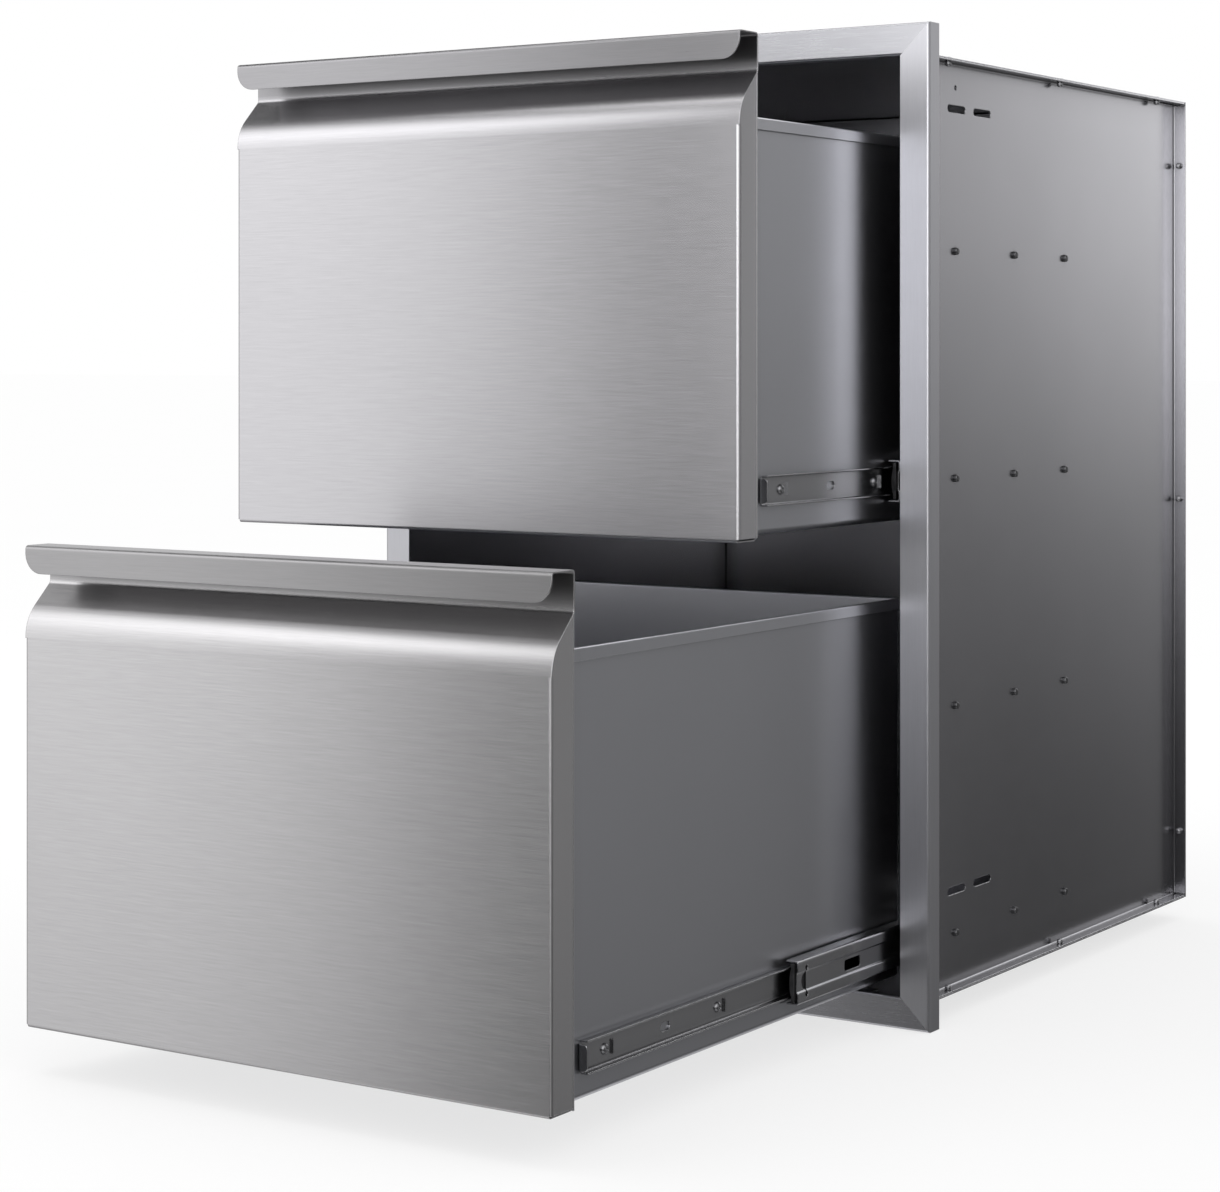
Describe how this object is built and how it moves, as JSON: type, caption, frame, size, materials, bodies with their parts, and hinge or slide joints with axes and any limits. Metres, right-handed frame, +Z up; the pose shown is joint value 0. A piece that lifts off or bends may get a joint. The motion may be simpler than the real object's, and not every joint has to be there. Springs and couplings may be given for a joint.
{
  "type": "built-in outdoor kitchen drawer unit",
  "caption": "Stainless steel cabinet with a face frame for building into an outdoor kitchen, holding drawers with folded pulls on full-extension ball bearing slides.",
  "frame": {"origin": "middle of the face frame's lower edge, on the plane of the frame's rear edges, which rest against the counter that the unit is built into", "axes": "+X to the right seen from the front, +Y from the front into the cabinet, +Z up"},
  "size_m": [0.457, 0.8768, 0.676],
  "materials": {
    "stainless_front": "brushed along the width",
    "stainless_frame": "brushed along each member",
    "stainless_shell": "fine satin",
    "stainless_box": "smooth, slightly mirroring",
    "slide_steel": "smooth bright plating",
    "hardware_steel": "bright",
    "ball_steel": "polished",
    "bumper_plastic": "black"
  },
  "bodies": {
    "cabinet": {"frame_left_stile": "stainless_frame", "frame_right_stile": "stainless_frame", "frame_top_rail": "stainless_frame", "frame_bottom_rail": "stainless_frame", "shell_left_side": "stainless_shell", "shell_right_side": "stainless_shell", "shell_top": "stainless_shell", "shell_bottom": "stainless_shell", "shell_back": "stainless_shell", "shell_rivets": "hardware_steel", "threaded_inserts": "hardware_steel", "slide_mounting_screws": "hardware_steel", "upper_left_slide_spacer": "slide_steel", "upper_left_outer_rail": "slide_steel", "upper_right_slide_spacer": "slide_steel", "upper_right_outer_rail": "slide_steel", "lower_left_slide_spacer": "slide_steel", "lower_left_outer_rail": "slide_steel", "lower_right_slide_spacer": "slide_steel", "lower_right_outer_rail": "slide_steel"},
    "upper_middle": {"upper_left_middle_rail": "slide_steel", "upper_left_rail_bumper": "bumper_plastic", "upper_right_middle_rail": "slide_steel", "upper_right_rail_bumper": "bumper_plastic"},
    "upper_drawer": {"upper_left_inner_rail": "slide_steel", "upper_box_left_side": "stainless_box", "upper_right_inner_rail": "slide_steel", "upper_box_right_side": "stainless_box", "upper_drawer_front": "stainless_front", "upper_inner_front": "stainless_front", "upper_box_back": "stainless_box", "upper_box_floor": "stainless_box", "upper_front_rivets": "hardware_steel", "upper_rail_screws": "hardware_steel"},
    "upper_outer_cage": {"upper_left_outer_ball_strips": "slide_steel", "upper_right_outer_ball_strips": "slide_steel", "upper_outer_balls": "ball_steel"},
    "upper_inner_cage": {"upper_left_inner_ball_strips": "slide_steel", "upper_right_inner_ball_strips": "slide_steel", "upper_inner_balls": "ball_steel"},
    "lower_middle": {"lower_left_middle_rail": "slide_steel", "lower_left_rail_bumper": "bumper_plastic", "lower_right_middle_rail": "slide_steel", "lower_right_rail_bumper": "bumper_plastic"},
    "lower_drawer": {"lower_left_inner_rail": "slide_steel", "lower_box_left_side": "stainless_box", "lower_right_inner_rail": "slide_steel", "lower_box_right_side": "stainless_box", "lower_drawer_front": "stainless_front", "lower_inner_front": "stainless_front", "lower_box_back": "stainless_box", "lower_box_floor": "stainless_box", "lower_front_rivets": "hardware_steel", "lower_rail_screws": "hardware_steel"},
    "lower_outer_cage": {"lower_left_outer_ball_strips": "slide_steel", "lower_right_outer_ball_strips": "slide_steel", "lower_outer_balls": "ball_steel"},
    "lower_inner_cage": {"lower_left_inner_ball_strips": "slide_steel", "lower_right_inner_ball_strips": "slide_steel", "lower_inner_balls": "ball_steel"}
  },
  "joints": [
    {"name": "upper_middle_slide", "type": "slide", "parent": "cabinet", "child": "upper_middle", "axis": [0, -1, 0], "range_m": [-0.035, 0.1394]},
    {"name": "upper_drawer_slide", "type": "slide", "parent": "upper_middle", "child": "upper_drawer", "axis": [0, -1, 0], "range_m": [-0.1674, 0.0644]},
    {"name": "upper_outer_cage_roll", "type": "slide", "parent": "cabinet", "child": "upper_outer_cage", "axis": [0, -1, 0], "range_m": [-0.0175, 0.0697]},
    {"name": "upper_inner_cage_roll", "type": "slide", "parent": "upper_middle", "child": "upper_inner_cage", "axis": [0, -1, 0], "range_m": [-0.0837, 0.0322]},
    {"name": "lower_middle_slide", "type": "slide", "parent": "cabinet", "child": "lower_middle", "axis": [0, -1, 0], "range_m": [-0.1744, 0]},
    {"name": "lower_drawer_slide", "type": "slide", "parent": "lower_middle", "child": "lower_drawer", "axis": [0, -1, 0], "range_m": [-0.2318, 0]},
    {"name": "lower_outer_cage_roll", "type": "slide", "parent": "cabinet", "child": "lower_outer_cage", "axis": [0, -1, 0], "range_m": [-0.0872, 0]},
    {"name": "lower_inner_cage_roll", "type": "slide", "parent": "lower_middle", "child": "lower_inner_cage", "axis": [0, -1, 0], "range_m": [-0.1159, 0]}
  ],
  "couplings": [
    {"joint": "upper_outer_cage_roll", "follows": "upper_middle_slide", "ratio": 0.5},
    {"joint": "upper_inner_cage_roll", "follows": "upper_drawer_slide", "ratio": 0.5},
    {"joint": "lower_outer_cage_roll", "follows": "lower_middle_slide", "ratio": 0.5},
    {"joint": "lower_inner_cage_roll", "follows": "lower_drawer_slide", "ratio": 0.5}
  ]
}
